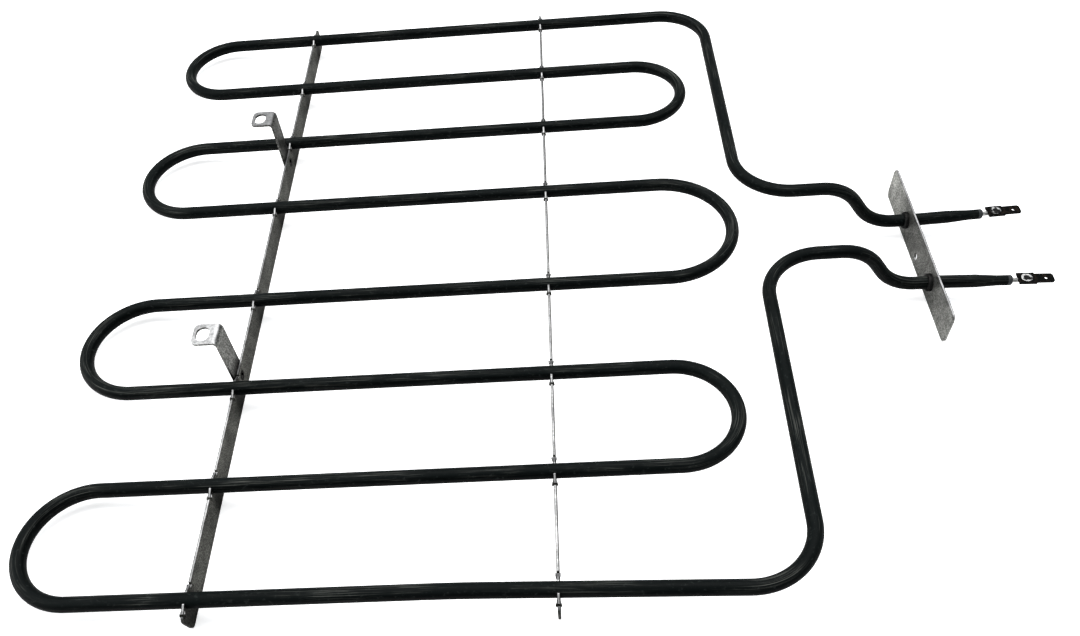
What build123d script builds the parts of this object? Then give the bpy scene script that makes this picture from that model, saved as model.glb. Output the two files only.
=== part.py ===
"""Tubular heating element for an oven: one sheathed tube bent into a flat serpentine,
carried on edge by two notched strips, hung by two brackets and fixed by one wall plate.

Millimetres, +Z up. The origin is the centre of the wall plate's outer face, the face
that meets the wall. +X points through the wall, along the two leads. The serpentine lies
level on the -X side, its passes parallel to X and one beside the other along Y.
"""

from build123d import *
import math
import os

# Sheathed tube
tube_d = 7
tube_wall = 0.6
coil_d = 3.4
pin_d = 2.5
pin_overlap = 6  # length of each pin inside the end of the resistance coil
pin_from_bend = 7  # between the end of the pin and the nearest bend

# Serpentine, seen from above
pass_gaps = (57, 57, 60, 74, 60, 57, 57)  # centre to centre, from the far pass to the near one
serpentine_z = 27
front_bend_x = -416.5  # centres of the four bends furthest from the wall
rear_bend_x = -150  # centres of the two outer bends nearest the wall
middle_bend_x = -144  # centre of the wide bend between them
leg_x = -99  # the two legs that run back to the middle
corner_r = 30
near_lean = 1.5  # how far the near corner and its leg are turned outward, in degrees
near_lean_x = -250  # where the nearest pass begins to lean
near_lean_r = 1000

# Leads
lead_y = 25
lead_z = 0.5
step_x = -31.5  # middle of the step down from the serpentine to the wall plate
step_angle = 54
step_r = 25
spread_x = 4  # where the leads begin to turn apart, just behind the plate
spread_angle = 2.5

# Ends of the tube, measured along each lead from where it turns apart
taper_start = 18
taper_end = 29.5
sheath_end = 34.8
seal_end = 37.3
blade_start = 40.2
end_d = 5.6
seal_plug = 5  # depth of the seal inside the sheath
seal_edge_r = 1

# Terminals
blade_t = 0.8
blade_rise = 0.6  # underside of the blade above the pin's axis
blade_root = (9, 8)  # length and width over the pin
blade_tab = (9.5, 6.3)  # length and width of the push-on tab
tab_tip_chamfer = 0.9
tab_hole_d = 1.8
tab_hole_from_tip = 4
weld_d = 6.2
weld_height = 0.5
weld_dish = 0.3

# Wall plate
plate_size = (120, 20)
plate_t = 1.2
plate_corner_r = 3.5
plate_hole_d = 4.3
plate_hole_z = -4.4
ferrule_d = 9.6
ferrule_length = 2.2
ferrule_edge_r = 0.8

# Support strips
strip_t = 1.2
front_strip_x = -363.6
middle_strip_x = -207.1
strip_top = 28
strip_height = 13
strip_overhang = 12  # past the middle of the outermost pass
front_strip_shift = 1.8  # toward the far side
strip_corner_r = 3
strip_slant = 2.5  # the near end is cut back by this much at the bottom edge
lip_rise = 1.3  # height of the staked lips above the strip
lip_tip = 3.2  # half widths of the pair of lips, at their tips and at their feet
lip_foot = 6.6
stake_offset = 7.4  # from the middle of the pass to each chisel mark
stake_bulge = (2.8, 3)  # width at the mark and length toward the tube
stake_bulge_height = 1.8
stake_cut = (1.3, 0.9)  # width and depth

# Hanger brackets
bracket_t = 1.2
bracket_width = 13
bracket_spacing = 169
bracket_middle_y = -1.5
bracket_top = 55.5
bracket_foot = 19
bracket_reach = 13
bracket_bend_r = 1.5
tab_corner_r = 3
foot_corner_r = 1.5
slot_size = (8.7, 6.5)
slot_reach = 8.2  # from the strip's face to the middle of the slot
clinch_z = 23.7
clinch_d = 4.2
clinch_bore_d = 3
clinch_head = (5.2, 0.8)  # diameter and thickness behind the bracket
clinch_floor = 0.5

# Between the tube and what holds it
fit_gap = 0.05

# Derived
bore_d = tube_d - 2 * tube_wall
end_bore_d = end_d - 2 * tube_wall
half_width = sum(pass_gaps) / 2
pass_ys = [half_width - sum(pass_gaps[:count]) for count in range(len(pass_gaps) + 1)]
rear_bend_xs = (rear_bend_x, middle_bend_x, rear_bend_x)
lean_slope = math.tan(math.radians(near_lean))
near_corner = (leg_x, -half_width - (leg_x - near_lean_x) * lean_slope)
near_lead_corner = (leg_x + (half_width - corner_r - lead_y) * lean_slope, -lead_y)
leg_bend_x = leg_x + corner_r
pin_inner_x = leg_bend_x + pin_from_bend
coil_end_x = pin_inner_x + pin_overlap
step_run = (serpentine_z - lead_z) / math.tan(math.radians(step_angle))
straight_start = taper_start / 2
blade_length = blade_root[0] + blade_tab[0]
strip_end_y = half_width + strip_overhang
bracket_ys = {
    "far": bracket_middle_y + bracket_spacing / 2,
    "near": bracket_middle_y - bracket_spacing / 2,
}
sides = {"far": 1, "near": -1}


def serpentine_route(end_x):
    """Centre line of the legs and all the passes, from one lead to the other."""
    with BuildLine() as route:
        run = Line((end_x, lead_y), (leg_bend_x, lead_y))
        turn = JernArc(run @ 1, run % 1, corner_r, -90)
        leg = Line(turn @ 1, (leg_x, half_width - corner_r))
        turn = JernArc(leg @ 1, leg % 1, corner_r, 90)
        for count, gap in enumerate(pass_gaps):
            at_front = count % 2 == 0
            bend_x = front_bend_x if at_front else rear_bend_xs[count // 2]
            run = Line(turn @ 1, (bend_x, pass_ys[count]))
            turn = JernArc(run @ 1, run % 1, gap / 2, 180 if at_front else -180)
        FilletPolyline(
            turn @ 1,
            (near_lean_x, -half_width),
            near_corner,
            near_lead_corner,
            (end_x, -lead_y),
            radius=(near_lean_r, corner_r, corner_r),
        )
    return route.wire().moved(Location((0, 0, serpentine_z)))


def straight_plane(side, distance=0.0, height=0.0):
    """Level plane on the straight end of a lead, its x axis outward along the lead."""
    angle = math.radians(side * spread_angle)
    outward = Vector(math.cos(angle), math.sin(angle), 0)
    start = Vector(spread_x, side * lead_y, lead_z + height)
    return Plane(origin=start + outward * distance, x_dir=outward, z_dir=(0, 0, 1))


def lead_route(side, start_x):
    """Centre line of a lead: level, down the step, through the plate and then outward."""
    with BuildLine() as route:
        FilletPolyline(
            (start_x, side * lead_y, serpentine_z),
            (step_x - step_run / 2, side * lead_y, serpentine_z),
            (step_x + step_run / 2, side * lead_y, lead_z),
            (spread_x, side * lead_y, lead_z),
            straight_plane(side, straight_start).origin,
            radius=step_r,
        )
    return route.wire()


def across(route):
    """Plane square to the start of a route."""
    return Plane(origin=route @ 0, z_dir=route % 0)


os.makedirs("parts", exist_ok=True)

# Sheath, one tube from end to end, drawn down at both ends
sheath_routes = [serpentine_route(coil_end_x)]
sheath_routes += [lead_route(side, coil_end_x) for side in sides.values()]

with BuildPart() as sheath_tube:
    for route in sheath_routes:
        with BuildSketch(across(route)):
            Circle(tube_d / 2)
            Circle(bore_d / 2, mode=Mode.SUBTRACT)
        sweep(path=route)
    for side in sides.values():
        straight = straight_plane(side)
        with BuildSketch(straight):
            Polygon(
                (straight_start, bore_d / 2),
                (straight_start, tube_d / 2),
                (taper_start, tube_d / 2),
                (taper_end, end_d / 2),
                (sheath_end, end_d / 2),
                (sheath_end, end_bore_d / 2),
                (taper_end, end_bore_d / 2),
                (taper_start, bore_d / 2),
                align=None,
            )
        revolve(axis=Axis(straight.origin, straight.x_dir))
sheath_tube.part.label = "sheath_tube"
export_step(sheath_tube.part, "parts/sheath_tube.step")

# Resistance coil, the wound wire as a sleeve of the winding's two diameters
coil_route = serpentine_route(coil_end_x)
with BuildPart() as heating_coil:
    with BuildSketch(across(coil_route)):
        Circle(coil_d / 2)
        Circle(pin_d / 2, mode=Mode.SUBTRACT)
    sweep(path=coil_route)
heating_coil.part.label = "heating_coil"
export_step(heating_coil.part, "parts/heating_coil.step")

# Packed powder, between the sheath and what runs through it
with BuildPart() as insulation_powder:
    with BuildSketch(across(coil_route)):
        Circle(bore_d / 2)
        Circle(coil_d / 2, mode=Mode.SUBTRACT)
    sweep(path=coil_route)
    for side in sides.values():
        route = lead_route(side, coil_end_x)
        straight = straight_plane(side)
        with BuildSketch(across(route)):
            Circle(bore_d / 2)
            Circle(pin_d / 2, mode=Mode.SUBTRACT)
        sweep(path=route)
        with BuildSketch(straight):
            Polygon(
                (straight_start, pin_d / 2),
                (straight_start, bore_d / 2),
                (taper_start, bore_d / 2),
                (taper_end, end_bore_d / 2),
                (sheath_end - seal_plug, end_bore_d / 2),
                (sheath_end - seal_plug, pin_d / 2),
                align=None,
            )
        revolve(axis=Axis(straight.origin, straight.x_dir))
insulation_powder.part.label = "insulation_powder"
export_step(insulation_powder.part, "parts/insulation_powder.step")

# Powder inside the coil, from one pin to the other
core_route = serpentine_route(pin_inner_x)
with BuildPart() as insulation_core:
    with BuildSketch(across(core_route)):
        Circle(pin_d / 2)
    sweep(path=core_route)
insulation_core.part.label = "insulation_core"
export_step(insulation_core.part, "parts/insulation_core.step")

for name, side in sides.items():
    straight = straight_plane(side)
    outward = Axis(straight.origin, straight.x_dir)

    # Solid pin, from inside the coil's end out to the blade, with a flat under the blade
    pin_route = lead_route(side, pin_inner_x)
    pin_end = blade_start + blade_root[0]
    with BuildPart() as terminal_pin:
        with BuildSketch(across(pin_route)):
            Circle(pin_d / 2)
        sweep(path=pin_route)
        with BuildSketch(straight):
            with Locations((straight_start, 0)):
                Rectangle(pin_end - straight_start, pin_d / 2, align=Align.MIN)
        revolve(axis=outward)
        with BuildSketch(straight_plane(side, blade_start, blade_rise)):
            Rectangle(blade_root[0], pin_d, align=(Align.MIN, Align.CENTER))
        extrude(amount=pin_d, mode=Mode.SUBTRACT)
    terminal_pin.part.label = f"terminal_pin_{name}"
    export_step(terminal_pin.part, f"parts/terminal_pin_{name}.step")

    # Bead that closes the sheath round the pin, with a plug inside
    with BuildPart() as end_seal:
        with BuildSketch(straight):
            Polygon(
                (sheath_end - seal_plug, pin_d / 2),
                (sheath_end - seal_plug, end_bore_d / 2),
                (sheath_end, end_bore_d / 2),
                (sheath_end, end_d / 2),
                (seal_end, end_d / 2),
                (seal_end, pin_d / 2),
                align=None,
            )
        revolve(axis=outward)
        end_face = end_seal.faces().filter_by(GeomType.PLANE).sort_by(outward)[-1]
        fillet(end_face.outer_wire().edges(), seal_edge_r)
    end_seal.part.label = f"end_seal_{name}"
    export_step(end_seal.part, f"parts/end_seal_{name}.step")

    # Spade terminal, a flat blade with a wide root and a narrower push-on tab
    with BuildPart() as spade_terminal:
        with BuildSketch(straight_plane(side, blade_start, blade_rise)):
            Rectangle(blade_root[0], blade_root[1], align=(Align.MIN, Align.CENTER))
            Rectangle(blade_length, blade_tab[1], align=(Align.MIN, Align.CENTER))
            with Locations((blade_length - tab_hole_from_tip, 0)):
                Circle(tab_hole_d / 2, mode=Mode.SUBTRACT)
        extrude(amount=blade_t)
        tip_corners = spade_terminal.edges().filter_by(GeomType.LINE).filter_by(Axis.Z)
        chamfer(tip_corners.sort_by(outward)[-2:], tab_tip_chamfer)
    spade_terminal.part.label = f"spade_terminal_{name}"
    export_step(spade_terminal.part, f"parts/spade_terminal_{name}.step")

    # Weld that joins the blade to the pin, a round head with a dish in it
    weld_seat = straight_plane(side, blade_start + blade_root[0] / 2, blade_rise + blade_t)
    with BuildPart() as terminal_weld:
        with BuildSketch(weld_seat):
            Circle(weld_d / 2)
        extrude(amount=weld_height)
        head_face = terminal_weld.faces().sort_by(Axis.Z)[-1]
        fillet(head_face.edges(), weld_height * 0.7)
        with BuildSketch(weld_seat.offset(weld_height)):
            Circle(weld_d / 4)
        extrude(amount=-weld_dish, taper=45, mode=Mode.SUBTRACT)
    terminal_weld.part.label = f"terminal_weld_{name}"
    export_step(terminal_weld.part, f"parts/terminal_weld_{name}.step")

    # Collar pressed round the tube against the inside of the wall plate
    with BuildPart() as plate_ferrule:
        with BuildSketch(Plane.YZ.offset(-plate_t)):
            with Locations((side * lead_y, lead_z)):
                Circle(ferrule_d / 2)
                Circle(tube_d / 2 + fit_gap, mode=Mode.SUBTRACT)
        extrude(amount=-ferrule_length)
        collar_face = plate_ferrule.faces().sort_by(Axis.X)[0]
        fillet(collar_face.outer_wire().edges(), ferrule_edge_r)
    plate_ferrule.part.label = f"plate_ferrule_{name}"
    export_step(plate_ferrule.part, f"parts/plate_ferrule_{name}.step")

# Wall plate, with a hole for each lead and one for a screw below the middle
with BuildPart() as wall_plate:
    with BuildSketch(Plane.YZ):
        RectangleRounded(*plate_size, plate_corner_r)
        with Locations((-lead_y, lead_z), (lead_y, lead_z)):
            Circle(tube_d / 2 + fit_gap, mode=Mode.SUBTRACT)
        with Locations((0, plate_hole_z)):
            Circle(plate_hole_d / 2, mode=Mode.SUBTRACT)
    extrude(amount=-plate_t)
wall_plate.part.label = "wall_plate"
export_step(wall_plate.part, "parts/wall_plate.step")

# Support strips, on edge, each pass gripped in a notch between two staked lips
for name, strip_x, far_end_y, clinch_ys in (
    ("front", front_strip_x, strip_end_y + front_strip_shift, bracket_ys.values()),
    ("middle", middle_strip_x, strip_end_y, ()),
):
    near_end_y = far_end_y - 2 * strip_end_y
    face_x = strip_x - strip_t / 2
    near_pass_y = -half_width - max(strip_x - near_lean_x, 0) * lean_slope
    notch_ys = pass_ys[:-1] + [near_pass_y]
    stakes = [(y + side * stake_offset, side) for y in notch_ys for side in sides.values()]
    with BuildPart() as support_strip:
        with BuildSketch(Plane.YZ.offset(face_x)):
            Polygon(
                (far_end_y, strip_top),
                (far_end_y, strip_top - strip_height),
                (near_end_y + strip_slant, strip_top - strip_height),
                (near_end_y, strip_top),
                align=None,
            )
            fillet(vertices(), strip_corner_r)
            with Locations(*[(y, strip_top) for y in notch_ys]):
                Polygon(
                    (-lip_foot, 0),
                    (-lip_tip, lip_rise),
                    (lip_tip, lip_rise),
                    (lip_foot, 0),
                    align=None,
                )
            with Locations(*[(y, serpentine_z) for y in notch_ys]):
                Circle(tube_d / 2 + fit_gap, mode=Mode.SUBTRACT)
        extrude(amount=strip_t)

        # Chisel marks across the top edge, each with the metal that it pushed to the tube
        with BuildSketch(Plane.XY.offset(strip_top)):
            for y, side in stakes:
                Polygon(
                    (strip_x - stake_bulge[0] / 2, y),
                    (strip_x + stake_bulge[0] / 2, y),
                    (strip_x + strip_t / 2, y - side * stake_bulge[1]),
                    (strip_x - strip_t / 2, y - side * stake_bulge[1]),
                    align=None,
                )
        extrude(amount=-stake_bulge_height)
        with BuildSketch(Plane.YZ.offset(strip_x)):
            with Locations(*[(y, strip_top) for y, side in stakes]):
                Polygon(
                    (-stake_cut[0] / 2, 0),
                    (0, -stake_cut[1]),
                    (stake_cut[0] / 2, 0),
                    align=None,
                )
        extrude(amount=stake_bulge[0], both=True, mode=Mode.SUBTRACT)

        # Flat seat for each bracket's leg, and a stub drawn through it and headed behind
        for y in clinch_ys:
            with BuildSketch(Plane.YZ.offset(face_x)):
                with Locations((y, strip_top)):
                    Rectangle(bracket_width, 2 * stake_bulge_height)
            extrude(amount=-bracket_t, mode=Mode.SUBTRACT)
            with BuildSketch(Plane.YZ.offset(face_x)):
                with Locations((y, clinch_z)):
                    Circle(clinch_d / 2)
            extrude(amount=-bracket_t)
            with BuildSketch(Plane.YZ.offset(face_x - bracket_t)):
                with Locations((y, clinch_z)):
                    Circle(clinch_head[0] / 2)
            extrude(amount=-clinch_head[1])
            with BuildSketch(Plane.YZ.offset(face_x + strip_t)):
                with Locations((y, clinch_z)):
                    Circle(clinch_bore_d / 2)
            bore_depth = strip_t + bracket_t + clinch_head[1] - clinch_floor
            extrude(amount=-bore_depth, mode=Mode.SUBTRACT)
    support_strip.part.label = f"{name}_support_strip"
    export_step(support_strip.part, f"parts/{name}_support_strip.step")

# Hanger brackets, bent from strip, with a slot in the tab at the top
leg_face_x = front_strip_x - strip_t / 2
for name, y in bracket_ys.items():
    with BuildPart() as hanger_bracket:
        with BuildSketch(Plane.XZ.offset(-y)):
            with BuildLine():
                outside = FilletPolyline(
                    (leg_face_x, bracket_foot),
                    (leg_face_x, bracket_top),
                    (leg_face_x - bracket_reach, bracket_top),
                    radius=bracket_bend_r + bracket_t,
                )
                inside = FilletPolyline(
                    (leg_face_x - bracket_t, bracket_foot),
                    (leg_face_x - bracket_t, bracket_top - bracket_t),
                    (leg_face_x - bracket_reach, bracket_top - bracket_t),
                    radius=bracket_bend_r,
                )
                Line(outside @ 0, inside @ 0)
                Line(outside @ 1, inside @ 1)
            make_face()
        extrude(amount=bracket_width / 2, both=True)
        tab_corners = hanger_bracket.edges().filter_by(Axis.Z).sort_by(Axis.X)[:2]
        fillet(tab_corners, tab_corner_r)
        foot_corners = hanger_bracket.edges().filter_by(Axis.X).sort_by(Axis.Z)[:2]
        fillet(foot_corners, foot_corner_r)
        with BuildSketch(Plane.XY.offset(bracket_top)):
            with Locations((leg_face_x - slot_reach, y)):
                SlotOverall(*slot_size, rotation=90)
        extrude(amount=-bracket_t, mode=Mode.SUBTRACT)
        with BuildSketch(Plane.YZ.offset(leg_face_x)):
            with Locations((y, clinch_z)):
                Circle(clinch_d / 2 + fit_gap)
        extrude(amount=-bracket_t, mode=Mode.SUBTRACT)
    hanger_bracket.part.label = f"hanger_bracket_{name}"
    export_step(hanger_bracket.part, f"parts/hanger_bracket_{name}.step")
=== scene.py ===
"""The oven heating element, dressed: its sheath as one swept tube whose drawing marks follow
the bends, and the strips, brackets, plate and terminals in worn steel."""

import math

import bpy
from mathutils import Matrix, Vector


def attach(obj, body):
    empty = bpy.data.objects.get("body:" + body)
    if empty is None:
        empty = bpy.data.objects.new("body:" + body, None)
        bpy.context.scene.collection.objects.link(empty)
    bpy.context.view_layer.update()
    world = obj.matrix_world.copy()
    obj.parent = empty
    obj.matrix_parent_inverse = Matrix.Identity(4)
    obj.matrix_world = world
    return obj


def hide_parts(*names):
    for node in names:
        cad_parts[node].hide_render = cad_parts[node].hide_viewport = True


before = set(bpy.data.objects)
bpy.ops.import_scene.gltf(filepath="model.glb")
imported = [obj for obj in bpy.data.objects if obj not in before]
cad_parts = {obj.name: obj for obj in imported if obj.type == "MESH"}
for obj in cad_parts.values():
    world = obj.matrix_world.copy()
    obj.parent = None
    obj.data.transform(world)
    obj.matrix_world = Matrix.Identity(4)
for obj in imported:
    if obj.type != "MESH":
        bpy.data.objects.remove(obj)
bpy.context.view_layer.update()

scene = bpy.context.scene
MM = 0.001
WHITE = (1, 1, 1, 1)
BLACK = (0, 0, 0, 1)

# ---------------------------------------------------------------- camera

CAMERA_PLACE = (-0.19888, -0.38023, 0.37107)
CAMERA_YAW, CAMERA_PITCH, CAMERA_ROLL = -0.09547, 0.93061, -0.12316
SENSOR_WIDTH = 36
LENS = 30.576
LENS_SHIFT_X, LENS_SHIFT_Y = 0.0201, 0.0952
CLIP_START, CLIP_END = 0.01, 20


def make_camera():
    """The fitted view: the lens stands at a place in metres and is turned in radians."""
    forward = Vector(
        (
            math.sin(CAMERA_YAW) * math.cos(CAMERA_PITCH),
            math.cos(CAMERA_YAW) * math.cos(CAMERA_PITCH),
            -math.sin(CAMERA_PITCH),
        )
    )
    level = Vector((math.cos(CAMERA_YAW), -math.sin(CAMERA_YAW), 0))
    upright = level.cross(forward)
    right = math.cos(CAMERA_ROLL) * level + math.sin(CAMERA_ROLL) * upright
    up = math.cos(CAMERA_ROLL) * upright - math.sin(CAMERA_ROLL) * level
    data = bpy.data.cameras.new("camera")
    data.sensor_width = SENSOR_WIDTH
    data.sensor_fit = "HORIZONTAL"
    data.lens = LENS
    data.shift_x = LENS_SHIFT_X
    data.shift_y = LENS_SHIFT_Y
    data.clip_start = CLIP_START
    data.clip_end = CLIP_END
    camera = bpy.data.objects.new("camera", data)
    turn = Matrix((right, up, -forward)).transposed()
    camera.matrix_world = Matrix.Translation(CAMERA_PLACE) @ turn.to_4x4()
    scene.collection.objects.link(camera)
    scene.camera = camera


# ---------------------------------------------------------------- node helpers


class Nodes:
    """A small helper for building the node tree of one material or of the world."""

    def __init__(self, owner):
        self.owner = owner
        owner.use_nodes = True
        self.tree = owner.node_tree
        self.tree.nodes.clear()

    def add(self, kind, values=None, **settings):
        node = self.tree.nodes.new(kind)
        for key, value in settings.items():
            setattr(node, key, value)
        for key, value in (values or {}).items():
            self.feed(node.inputs[key], value)
        return node

    def feed(self, socket, value):
        if isinstance(value, bpy.types.NodeSocket):
            self.tree.links.new(value, socket)
        else:
            socket.default_value = value

    def place(self):
        """Where a point lies on its piece, in metres."""
        return self.add("ShaderNodeTexCoord").outputs["Object"]

    def split(self, vector):
        """The X, Y and Z of a vector, by name."""
        return self.add("ShaderNodeSeparateXYZ", {"Vector": vector}).outputs

    def math(self, operation, *values):
        node = self.add("ShaderNodeMath", operation=operation)
        for socket, value in zip(node.inputs, values):
            self.feed(socket, value)
        return node.outputs[0]

    def product(self, factors):
        total = factors[0]
        for factor in factors[1:]:
            total = self.math("MULTIPLY", total, factor)
        return total

    def blend(self, first, second, share):
        """Two values added up, the first by a share and the second by the rest."""
        first_part = self.math("MULTIPLY", first, share)
        return self.math("ADD", first_part, self.math("MULTIPLY", second, 1 - share))

    def nearest(self, value, marks):
        """How far a value is from the nearest of some marks."""
        gaps = [self.math("ABSOLUTE", self.math("SUBTRACT", value, mark)) for mark in marks]
        least = gaps[0]
        for gap in gaps[1:]:
            least = self.math("MINIMUM", least, gap)
        return least

    def distance(self, first, second, centre):
        """How far a pair of coordinates is from a centre."""
        squares = []
        for value, middle in zip((first, second), centre):
            off = self.math("SUBTRACT", value, middle)
            squares.append(self.math("MULTIPLY", off, off))
        return self.math("SQRT", self.math("ADD", *squares))

    def stretch(self, vector, scale, shift=(0, 0, 0)):
        values = {"Vector": vector, "Scale": scale, "Location": shift}
        return self.add("ShaderNodeMapping", values).outputs[0]

    def noise(self, vector, scale=1.0, detail=3.0, rough=0.6):
        values = {"Vector": vector, "Scale": scale, "Detail": detail, "Roughness": rough}
        return self.add("ShaderNodeTexNoise", values).outputs["Fac"]

    def ramp(self, value, low, high, from_value=0.0, to_value=1.0):
        """A smooth step of a value between two limits."""
        values = {
            "Value": value,
            "From Min": low,
            "From Max": high,
            "To Min": from_value,
            "To Max": to_value,
        }
        return self.add("ShaderNodeMapRange", values, interpolation_type="SMOOTHSTEP").outputs[0]

    def mix(self, amount, first, second, blend_type="MIX"):
        node = self.add("ShaderNodeMix", data_type="RGBA", blend_type=blend_type)
        colours = [socket for socket in node.inputs if socket.type == "RGBA"]
        self.feed(node.inputs[0], amount)
        self.feed(colours[0], first)
        self.feed(colours[1], second)
        return [socket for socket in node.outputs if socket.type == "RGBA"][0]

    def darken(self, colour, share):
        """A colour multiplied by a share of its tone."""
        shade = self.add("ShaderNodeCombineXYZ", {0: share, 1: share, 2: share}).outputs[0]
        return self.mix(1.0, colour, shade, "MULTIPLY")

    def bump(self, height, strength, distance):
        values = {"Height": height, "Strength": strength, "Distance": distance}
        return self.add("ShaderNodeBump", values).outputs[0]

    def finish(self, **inputs):
        """The surface of a material from the inputs that differ from a plain one."""
        names = {
            "base": "Base Color",
            "metallic": "Metallic",
            "roughness": "Roughness",
            "normal": "Normal",
            "specular": "Specular IOR Level",
            "edge_tint": "Specular Tint",
            "sheen": "Sheen Weight",
            "sheen_roughness": "Sheen Roughness",
        }
        values = {names[key]: value for key, value in inputs.items()}
        surface = self.add("ShaderNodeBsdfPrincipled", values)
        self.add("ShaderNodeOutputMaterial", {"Surface": surface.outputs[0]})
        return self.owner


def new_material(name):
    return Nodes(bpy.data.materials.new(name))


def grey(value, warm=0.0):
    """A grey of a given brightness, with a small share of its blue taken out."""
    return (value, value, value * (1 - warm), 1)


# ---------------------------------------------------------------- materials

# Lengths in metres. Each pair holds the two places between which a ramp rises.
# The band on the upper side of the sheath that is painted lighter, as painted light from above.
SHEATH_LIT_CROWN = (0.0016, 0.0032)
# How far the painted shade beside a crossing pass reaches along a strip.
CROSSING_SHADE_REACH = (0.0025, 0.0095)
# Where the painted shade round a clinch's hole ends, as a distance from its middle.
DIMPLE_SHADE_EDGE = (0.0024, 0.0031)
ARRIS_INNER, ARRIS_OUTER = (0.00030, 0.00043), (0.00085, 0.00070)
# Where the painted glint on a weld head's bead rises and falls, as distances from the head's
# middle.
WELD_GLINT_INNER, WELD_GLINT_OUTER = (0.0014, 0.0020), (0.0030, 0.0026)
WELD_MIDDLE = (0.0, 0.0025)

# Where a weld head lies: its X, and its distance from the middle on Y, in metres.
WELD_CENTRE = (0.04866, 0.02695)

# Scales of the sheath's noises, along the tube and then twice across it.
SHEATH_LINES = (36, 2300, 2300)
SHEATH_HAZE = (9, 260, 260)
SHEATH_PATCHES = (34, 120, 120)
SHEATH_SPECKS = (500, 700, 700)

# Scales of the fine noises on steel.
GRAIN_SCALE = 1400
SPOT_SCALE = 1300
NICK_SCALE = 700

# The Z of a face's normal from which it begins to take the painted light of upward faces, and
# has it in full.
LIT_UPWARD_NORMALS = (0.6, 0.9)

# Shares of a tone, how metallic steel is and its tint at grazing angles.
# The share of tone kept under the painted shade beside a crossing pass.
CROSSING_SHADE_TONE = 0.30
# The share of tone kept round a clinch's hole, painted dark as painted shade.
DIMPLE_SHADE_TONE = 0.05
NICK_TONE = 0.5
ARRIS_TONE = 0.3
SPOT_DARKENING = 0.85
STEEL_METALLIC = 0.95
STEEL_EDGE_TINT = grey(0.5)

OXIDE, HAZED_OXIDE = (0.0003, 0.0009, 0.0009, 1), (0.0016, 0.0028, 0.0028, 1)
# The tone of the sheath's upper side is a painted highlight of light from above.
LIT_CROWN_TONE = (0.0085, 0.0110, 0.0110, 1)
SHEATH_SPECK = (0.024, 0.028, 0.027, 1)
SHEATH_STREAK = (0.085, 0.088, 0.080, 1)
BLADE_OXIDE, BLADE_BROWN = (0.0035, 0.004, 0.004, 1), (0.016, 0.012, 0.009, 1)
BLADE_SPECK = (0.09, 0.08, 0.07, 1)
# The near-white weld tone is a painted reflection on the bead.
WELD_BURNT, WELD_GLINT = (0.008, 0.008, 0.008, 1), (0.86, 0.86, 0.84, 1)
SEAL_DARK, SEAL_LIGHT = (0.010, 0.012, 0.013, 1), (0.024, 0.027, 0.029, 1)
POWDER_DARK, POWDER_LIGHT = (0.70, 0.68, 0.63, 1), (0.86, 0.84, 0.79, 1)


def make_sheath_material():
    """Black oxide on drawn tube: lighter where it was rubbed, streaked along its length, its
    upper side painted lighter as painted light from above.
    """
    nodes = new_material("sheath")
    unrolled = nodes.add("ShaderNodeAttribute", attribute_name="unrolled").outputs["Vector"]
    lines = nodes.noise(nodes.stretch(unrolled, SHEATH_LINES), detail=4.0)
    haze = nodes.noise(nodes.stretch(unrolled, SHEATH_HAZE, (3, 1, 7)), rough=0.5)
    patches = nodes.noise(nodes.stretch(unrolled, SHEATH_PATCHES, (9, 4, 2)), rough=0.55)
    specks = nodes.noise(nodes.stretch(unrolled, SHEATH_SPECKS, (1, 8, 5)))
    lit_crown = nodes.ramp(nodes.split(unrolled)["Z"], *SHEATH_LIT_CROWN)
    worn = nodes.ramp(patches, 0.40, 0.64)
    # The streaks are drawing marks, painted strongest on the upper side, where the painted light
    # falls.
    streak = nodes.product(
        [nodes.ramp(lines, 0.50, 0.66), worn, nodes.math("MULTIPLY_ADD", lit_crown, 0.75, 0.25)]
    )
    speck = nodes.ramp(specks, 0.58, 0.70)
    base = nodes.mix(nodes.ramp(haze, 0.40, 0.70), OXIDE, HAZED_OXIDE)
    # Painted light: the upper side of the tube is painted lighter.
    base = nodes.mix(nodes.math("MULTIPLY", lit_crown, 0.35), base, LIT_CROWN_TONE)
    base = nodes.mix(nodes.math("MULTIPLY", speck, 0.4), base, SHEATH_SPECK)
    base = nodes.mix(nodes.math("MULTIPLY", streak, 0.7), base, SHEATH_STREAK)
    return nodes.finish(
        base=base,
        roughness=nodes.ramp(haze, 0.3, 0.7, 0.42, 0.56),
        specular=0.035,
        sheen=0.035,
        sheen_roughness=0.3,
        normal=nodes.bump(nodes.blend(lines, patches, 0.6), 0.25, 0.0002),
    )


def darkenings(nodes, parts, fades, crossings, shaded_dimples):
    """The shares of its tone that steel keeps at fades, and under painted shade at crossings and
    dimples.
    """
    shares = [nodes.ramp(parts[axis], *limits) for axis, *limits in fades]
    # Painted shade: darker where the passes cross over the strip.
    if crossings:
        away = nodes.nearest(parts["Y"], crossings)
        shares.append(nodes.ramp(away, *CROSSING_SHADE_REACH, CROSSING_SHADE_TONE, 1.0))
    # Painted shade: the ground round each clinch's hole is painted dark.
    for centre in shaded_dimples:
        away = nodes.distance(parts["Y"], parts["Z"], centre)
        shares.append(nodes.ramp(away, *DIMPLE_SHADE_EDGE, DIMPLE_SHADE_TONE, 1.0))
    return shares


def lit_upward_colour(nodes, spread, lit_top, dark, nicks, rims):
    """The colour of upward faces, painted lighter as painted light from above, with dark nicks
    and with dark arrises along a sheet.
    """
    colour = nodes.mix(spread, grey(lit_top[0]), grey(lit_top[1]))
    place = nodes.place()
    if nicks:
        nick = nodes.ramp(nodes.noise(place, NICK_SCALE), 0.50, 0.62)
        colour = nodes.mix(nodes.math("MULTIPLY", nick, nicks), colour, grey(dark * NICK_TONE))
    if rims:
        away = nodes.nearest(nodes.split(place)["X"], rims)
        inner, outer = nodes.ramp(away, *ARRIS_INNER), nodes.ramp(away, *ARRIS_OUTER)
        arris = nodes.math("MULTIPLY", inner, outer)
        colour = nodes.mix(arris, colour, grey(dark * ARRIS_TONE))
    return colour


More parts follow.
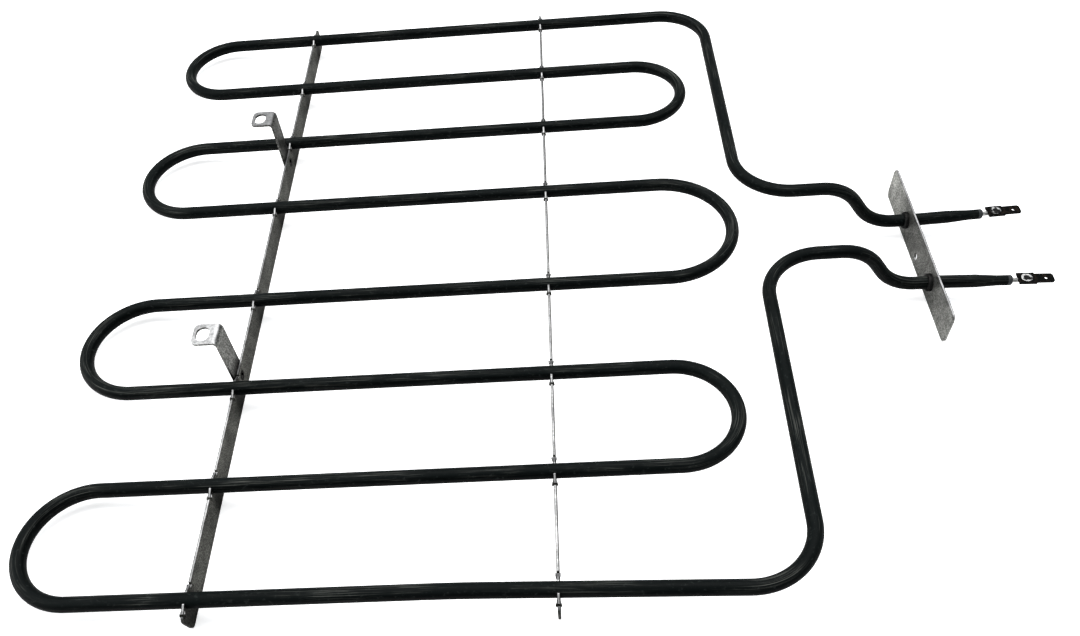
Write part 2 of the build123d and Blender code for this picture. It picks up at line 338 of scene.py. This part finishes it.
def steel(name, side, lit_top=None, warm=0.03, rough=(0.38, 0.55), blotch=90, speckle=0.0, nicks=0.0,
          fades=(), crossings=(), shaded_dimples=(), rims=()):
    """Mill-finished steel: mottled and grained, with upward faces painted lighter as painted
    light.

    side is a pair of tones, dark and light, and so is the lighter pair that upward faces take as
    painted light from above; rough is the roughness of light and of dark patches. blotch is the
    scale of the mottling, speckle how strongly fine spots change the tone and nicks how strongly
    nicks darken upward faces. Each fade is an axis, two places on it and the share of the tone
    at each. crossings are places on Y where painted shade darkens it beside the passes, dimples
    are the Y and Z of pressed joints, painted dark inside as painted shade, and rims are the
    middles on X of sheets whose upper edges are dark along both arrises."""
    nodes = new_material(name)
    place = nodes.place()
    mottle = nodes.noise(place, blotch, detail=5.0)
    grain = nodes.noise(place, GRAIN_SCALE)
    tone = nodes.blend(mottle, grain, 0.55)
    spread = nodes.ramp(tone, 0.36, 0.66)
    base = nodes.mix(spread, grey(side[0], warm), grey(side[1], warm))
    shares = darkenings(nodes, nodes.split(place), fades, crossings, shaded_dimples)
    if shares:
        base = nodes.darken(base, nodes.product(shares))
    if speckle:
        spots = nodes.noise(place, SPOT_SCALE, detail=2.0)
        lightest, darkest = 1 + speckle, 1 - speckle * SPOT_DARKENING
        base = nodes.darken(base, nodes.ramp(spots, 0.36, 0.64, lightest, darkest))
    if lit_top is not None:
        # Painted light: faces that look upward take a lighter pair of tones, as if lit from
        # above.
        normal = nodes.add("ShaderNodeTexCoord").outputs["Normal"]
        lit_upward = nodes.ramp(nodes.split(normal)["Z"], *LIT_UPWARD_NORMALS)
        base = nodes.mix(lit_upward, base, lit_upward_colour(nodes, spread, lit_top, side[0], nicks, rims))
    return nodes.finish(
        base=base,
        metallic=STEEL_METALLIC,
        edge_tint=STEEL_EDGE_TINT,
        roughness=nodes.ramp(tone, 0.3, 0.7, rough[1], rough[0]),
        normal=nodes.bump(nodes.blend(grain, mottle, 0.5), 0.22, 0.0001),
    )


def make_blade_material():
    """Dark oxide on the blades, brown where it thins."""
    nodes = new_material("blade")
    place = nodes.place()
    patch = nodes.noise(place, 420, detail=4.0)
    fine = nodes.noise(place, 2600)
    speck = nodes.ramp(fine, 0.60, 0.74)
    base = nodes.mix(nodes.ramp(patch, 0.48, 0.64), BLADE_OXIDE, BLADE_BROWN)
    base = nodes.mix(nodes.math("MULTIPLY", speck, 0.4), base, BLADE_SPECK)
    return nodes.finish(
        base=base,
        metallic=0.6,
        specular=0.1,
        edge_tint=grey(0.2),
        roughness=nodes.ramp(patch, 0.3, 0.7, 0.34, 0.55),
        normal=nodes.bump(fine, 0.3, 0.00008),
    )


def make_weld_material():
    """Weld head: a broken ring of painted glint round a burnt middle."""
    nodes = new_material("weld")
    place = nodes.place()
    parts = nodes.split(place)
    away = nodes.distance(parts["X"], nodes.math("ABSOLUTE", parts["Y"]), WELD_CENTRE)
    inner, outer = nodes.ramp(away, *WELD_GLINT_INNER), nodes.ramp(away, *WELD_GLINT_OUTER)
    broken = nodes.ramp(nodes.noise(place, 380, detail=2.0, rough=0.5), 0.44, 0.52)
    # Painted reflection: a bright broken ring on the bead.
    base = nodes.mix(nodes.product([inner, outer, broken]), WELD_BURNT, WELD_GLINT)
    roughness = nodes.ramp(away, *WELD_MIDDLE, 0.45, 0.25)
    return nodes.finish(base=base, metallic=0.8, roughness=roughness)


def make_seal_material():
    """Matt dark grey bead, slightly pitted."""
    nodes = new_material("seal")
    pits = nodes.noise(nodes.place(), 1500, detail=4.0)
    base = nodes.mix(nodes.ramp(pits, 0.4, 0.65), SEAL_DARK, SEAL_LIGHT)
    normal = nodes.bump(pits, 0.4, 0.0001)
    return nodes.finish(base=base, roughness=0.62, specular=0.4, normal=normal)


def make_powder_material():
    """Packed white powder, which shows nowhere on the finished element."""
    nodes = new_material("powder")
    grains = nodes.noise(nodes.place(), 1800, detail=4.0, rough=0.7)
    base = nodes.mix(nodes.ramp(grains, 0.3, 0.7), POWDER_DARK, POWDER_LIGHT)
    return nodes.finish(base=base, roughness=0.95, normal=nodes.bump(grains, 0.5, 0.0001))


# ---------------------------------------------------------------- sheath

# Millimetres and degrees. The wall plate stands at X 0, with the terminals beyond it and
# the passes on the negative side, and the far side of the element is toward positive Y.
TUBE_R = 3.5
PASS_GAPS = (57, 57, 60, 74, 60, 57, 57)
HALF_WIDTH = sum(PASS_GAPS) / 2
LEVEL = 27.0
FRONT_X = -416.5
REAR_X = (-150.0, -144.0, -150.0)
LEG_X = -99.0
CORNER_R = 30.0

# The last pass, its corner and its leg lean outward.
NEAR_LEAN = math.tan(math.radians(1.5))
NEAR_LEAN_X = -250.0
NEAR_LEAN_R = 1000.0

# A lead steps down to the plate's level, spreads a little beyond it and is drawn down at
# its end.
LEAD_Z = 0.5
LEAD_Y = 25.0
STEP_X = -31.5
STEP_ANGLE = 54.0
STEP_R = 25.0
SPREAD_X = 4.0
SPREAD_ANGLE = 2.5
SPREAD_LENGTH = 34.8
DRAWN_END, DRAWN_START = 5.3, 16.8
END_R = 2.8

# How finely the skin is divided, and the shortest run worth a ring of its own.
SIDES = 40
BEND_STEP = 3
LONG_RUN = 20
LONG_RUN_PARTS = 8
LEAST_RUN = 0.01


def corners_of_tube():
    """Corner points of the centre line in millimetres, each with its bend radius."""
    step_run = (LEVEL - LEAD_Z) / math.tan(math.radians(STEP_ANGLE))
    end_x = SPREAD_X + SPREAD_LENGTH * math.cos(math.radians(SPREAD_ANGLE))
    end_y = LEAD_Y + SPREAD_LENGTH * math.sin(math.radians(SPREAD_ANGLE))
    lead = [
        (end_x, end_y, LEAD_Z, 0),
        (SPREAD_X, LEAD_Y, LEAD_Z, STEP_R),
        (STEP_X + step_run / 2, LEAD_Y, LEAD_Z, STEP_R),
        (STEP_X - step_run / 2, LEAD_Y, LEVEL, STEP_R),
    ]
    points = [*lead, (LEG_X, LEAD_Y, LEVEL, CORNER_R), (LEG_X, HALF_WIDTH, LEVEL, CORNER_R)]
    y = HALF_WIDTH
    for count, gap in enumerate(PASS_GAPS):
        bend = FRONT_X - gap / 2 if count % 2 == 0 else REAR_X[count // 2] + gap / 2
        points.append((bend, y, LEVEL, gap / 2))
        y -= gap
        points.append((bend, y, LEVEL, gap / 2))
    lead_corner_x = LEG_X + (HALF_WIDTH - CORNER_R - LEAD_Y) * NEAR_LEAN
    points += [
        (NEAR_LEAN_X, -HALF_WIDTH, LEVEL, NEAR_LEAN_R),
        (LEG_X, -HALF_WIDTH - (LEG_X - NEAR_LEAN_X) * NEAR_LEAN, LEVEL, CORNER_R),
        (lead_corner_x, -LEAD_Y, LEVEL, CORNER_R),
    ]
    points += [(x, -y, z, r) for x, y, z, r in reversed(lead)]
    return [(Vector(point[:3]), point[3]) for point in points]


def centre_line():
    """Points along the tube's middle, with the direction and the distance run at each."""
    corners = corners_of_tube()
    line = [(corners[0][0], (corners[1][0] - corners[0][0]).normalized())]
    for (before, _), (corner, radius), (after, _) in zip(corners, corners[1:], corners[2:]):
        into = (corner - before).normalized()
        out = (after - corner).normalized()
        turn = into.angle(out)
        back = radius * math.tan(turn / 2)
        axis = into.cross(out).normalized()
        start = corner - into * back
        middle = start + axis.cross(into) * radius
        steps = max(3, round(math.degrees(turn) / BEND_STEP))
        for step in range(steps + 1):
            swing = Matrix.Rotation(turn * step / steps, 3, axis)
            line.append((middle + swing @ (start - middle), swing @ into))
    line.append((corners[-1][0], (corners[-1][0] - corners[-2][0]).normalized()))
    kept = [(*line[0], 0.0)]
    for place, heading in line[1:]:
        run = (place - kept[-1][0]).length
        if run > LEAST_RUN:
            kept.append((place, heading, kept[-1][2] + run))
    return kept


def tube_radius(from_end):
    """Outer radius at a distance from the nearer end, smaller where the end is drawn down."""
    share = min(max((from_end - DRAWN_END) / (DRAWN_START - DRAWN_END), 0.0), 1.0)
    return END_R + (TUBE_R - END_R) * share


def skin_stations(line):
    """The centre line with rings added along its long runs and where the ends are drawn."""
    total = line[-1][2]
    stations = []
    for (place, heading, run), (next_place, _, next_run) in zip(line, line[1:]):
        stations.append((place, heading, run))
        length = next_run - run
        cuts = [DRAWN_END, DRAWN_START, total - DRAWN_START, total - DRAWN_END]
        if length > LONG_RUN:
            cuts += [run + length * k / LONG_RUN_PARTS for k in range(1, LONG_RUN_PARTS)]
        for cut in sorted(cuts):
            if run + LEAST_RUN < cut < next_run - LEAST_RUN:
                stations.append((place.lerp(next_place, (cut - run) / length), heading, cut))
    stations.append(line[-1])
    return stations


def make_sheath():
    """The sheath's outer skin, with each point's place on the tube as it was before bending."""
    stations = skin_stations(centre_line())
    total = stations[-1][2]
    vertices, faces, unrolled = [], [], []
    side = Vector((0, 0, 1)).cross(stations[0][1]).normalized()
    for place, heading, run in stations:
        side = (side - heading * side.dot(heading)).normalized()
        up = heading.cross(side)
        radius = tube_radius(min(run, total - run))
        for step in range(SIDES):
            angle = 2 * math.pi * step / SIDES
            across, rise = math.cos(angle), math.sin(angle)
            vertices.append((place + (side * across + up * rise) * radius) * MM)
            unrolled += [run * MM, across * TUBE_R * MM, rise * TUBE_R * MM]
    for ring in range(len(stations) - 1):
        for step in range(SIDES):
            here, there = ring * SIDES, (ring + 1) * SIDES
            after = (step + 1) % SIDES
            faces.append((here + step, here + after, there + after, there + step))
    mesh = bpy.data.meshes.new("sheath_skin")
    mesh.from_pydata(vertices, [], faces)
    mesh.attributes.new("unrolled", "FLOAT_VECTOR", "POINT").data.foreach_set("vector", unrolled)
    mesh.shade_smooth()
    sheath = bpy.data.objects.new("sheath_skin", mesh)
    scene.collection.objects.link(sheath)
    mesh.materials.append(make_sheath_material())
    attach(sheath, "root")
    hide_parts("sheath_tube")


# ---------------------------------------------------------------- the object

# Metres, on the finished solids: the middles of the sheets on X, the Y and Z of the clinches
# that hold the brackets, and where the passes cross the strips on Y.
STRIP_XS = (-0.3636, -0.2071)
PLATE_X = -0.0006
CLINCHES = ((0.083, 0.0237), (-0.086, 0.0237))
PASS_YS = [HALF_WIDTH * MM - sum(PASS_GAPS[:count]) * MM for count in range(len(PASS_GAPS) + 1)]

# Fades: an axis, two places on it in metres and the share of the tone at each.
STRIP_NEAR_END = ("Y", -0.224, -0.205, 0.45, 1.0)
# Painted shade and a painted dark reflection of the tube: the bracket legs darken toward their
# feet.
BRACKET_FOOT_SHADE = ("Z", 0.0285, 0.037, 0.18, 1.0)
# Painted shade: the far bracket is painted darker than the near one.
BRACKET_FAR_SHADE = ("Y", -0.08, 0.08, 1.0, 0.6)
PLATE_MIDDLE = ("Y", -0.045, -0.020, 1.0, 0.75)
PLATE_FAR_END = ("Y", 0.020, 0.050, 1.0, 2.0)


def paint(material, *names):
    """Give the named solids one material in place of their own."""
    for name in names:
        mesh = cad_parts[name].data
        mesh.materials.clear()
        mesh.materials.append(material)


def both(name):
    return f"{name}_far", f"{name}_near"


def dress_sheet_pieces():
    """The strips, the brackets and the wall plate, all with upper edges painted lighter as
    painted light from above.
    """
    strip = steel(
        "strip",
        side=(0.058, 0.135),
        lit_top=(0.22, 0.46),
        warm=0.10,
        speckle=0.8,
        nicks=0.4,
        fades=[STRIP_NEAR_END],
        # Painted shade darkens the strips beside each pass that crosses them.
        crossings=PASS_YS,
        shaded_dimples=CLINCHES,
        # The clinch holes are painted dark as painted shade.
        rims=STRIP_XS,
    )
    bracket = steel(
        "bracket",
        side=(0.115, 0.235),
        lit_top=(0.29, 0.53),
        warm=0.06,
        rough=(0.30, 0.45),
        speckle=0.8,
        nicks=0.45,
        fades=[BRACKET_FOOT_SHADE, BRACKET_FAR_SHADE],
    )
    plate = steel(
        "plate",
        side=(0.130, 0.280),
        lit_top=(0.28, 0.62),
        warm=0.06,
        speckle=0.55,
        nicks=0.4,
        fades=[PLATE_MIDDLE, PLATE_FAR_END],
        rims=[PLATE_X],
    )
    paint(strip, "front_support_strip", "middle_support_strip")
    paint(bracket, *both("hanger_bracket"))
    paint(plate, "wall_plate")


def dress_small_pieces():
    """The pieces round the leads and beyond their ends, and the filling of the sheath."""
    paint(steel("ferrule", side=(0.012, 0.030), rough=(0.45, 0.6)), *both("plate_ferrule"))
    paint(steel("pin", side=(0.22, 0.50), blotch=500), *both("terminal_pin"))
    paint(make_weld_material(), *both("terminal_weld"))
    paint(steel("wire", side=(0.35, 0.50)), "heating_coil")
    paint(make_blade_material(), *both("spade_terminal"))
    paint(make_seal_material(), *both("end_seal"))
    paint(make_powder_material(), "insulation_powder", "insulation_core")


make_camera()
make_sheath()
dress_sheet_pieces()
dress_small_pieces()

# ---------------------------------------------------------------- floor and light

# Metres. The floor climbs from the foot of the wall plate to the foot of the front strip.
FLOOR_Z = -0.0101
FLOOR_CLIMB = 0.025
FLOOR_SLOPE = FLOOR_CLIMB / STRIP_XS[0]
FLOOR_HALF = 3.0
FLOOR_COLOUR = (0.92, 0.92, 0.92, 1)
FLOOR_GLOW = 0.55
SKY_COLOUR, SKY_STRENGTH = (0.80, 0.83, 0.86, 1), 0.45
LIGHT_AIM = (-0.2, 0.0, 0.0)


def make_floor():
    """A pale floor under the front strip and the wall plate, which only the camera sees glow."""
    corners = [(-1, -1), (1, -1), (1, 1), (-1, 1)]
    places = [(x * FLOOR_HALF, y * FLOOR_HALF) for x, y in corners]
    mesh = bpy.data.meshes.new("floor")
    mesh.from_pydata([(x, y, FLOOR_Z + x * FLOOR_SLOPE) for x, y in places], [], [(0, 1, 2, 3)])
    floor = bpy.data.objects.new("floor", mesh)
    scene.collection.objects.link(floor)
    nodes = new_material("floor")
    diffuse = nodes.add("ShaderNodeBsdfDiffuse", {"Color": FLOOR_COLOUR})
    glow = nodes.add("ShaderNodeEmission", {"Color": WHITE, "Strength": FLOOR_GLOW})
    dark = nodes.add("ShaderNodeEmission", {"Color": BLACK, "Strength": 0.0})
    seen = nodes.add("ShaderNodeLightPath").outputs["Is Camera Ray"]
    extra = nodes.add("ShaderNodeMixShader", {0: seen, 1: dark.outputs[0], 2: glow.outputs[0]})
    total = nodes.add("ShaderNodeAddShader", {0: diffuse.outputs[0], 1: extra.outputs[0]})
    nodes.add("ShaderNodeOutputMaterial", {"Surface": total.outputs[0]})
    mesh.materials.append(nodes.owner)


def add_area(name, place, size, power):
    """A rectangular light that faces the middle of the element."""
    data = bpy.data.lights.new(name, "AREA")
    data.shape = "RECTANGLE"
    data.size, data.size_y = size
    data.energy = power
    light = bpy.data.objects.new(name, data)
    light.location = place
    aim = Vector(LIGHT_AIM) - Vector(place)
    light.rotation_euler = aim.to_track_quat("-Z", "Y").to_euler()
    scene.collection.objects.link(light)


def make_world():
    """White where the camera sees it, and a dimmer, cooler sky for the light."""
    scene.world = bpy.data.worlds.new("world")
    nodes = Nodes(scene.world)
    seen = nodes.add("ShaderNodeLightPath").outputs["Is Camera Ray"]
    sky = nodes.add("ShaderNodeBackground", {"Color": SKY_COLOUR, "Strength": SKY_STRENGTH})
    white = nodes.add("ShaderNodeBackground", {"Color": WHITE})
    mixed = nodes.add("ShaderNodeMixShader", {0: seen, 1: sky.outputs[0], 2: white.outputs[0]})
    nodes.add("ShaderNodeOutputWorld", {"Surface": mixed.outputs[0]})


make_floor()
make_world()
add_area("overhead", place=(-0.2, 0.35, 1.3), size=(1.6, 1.2), power=26)
add_area("left", place=(-1.3, -0.2, 0.7), size=(0.8, 1.0), power=9)
scene.view_settings.view_transform = "Standard"
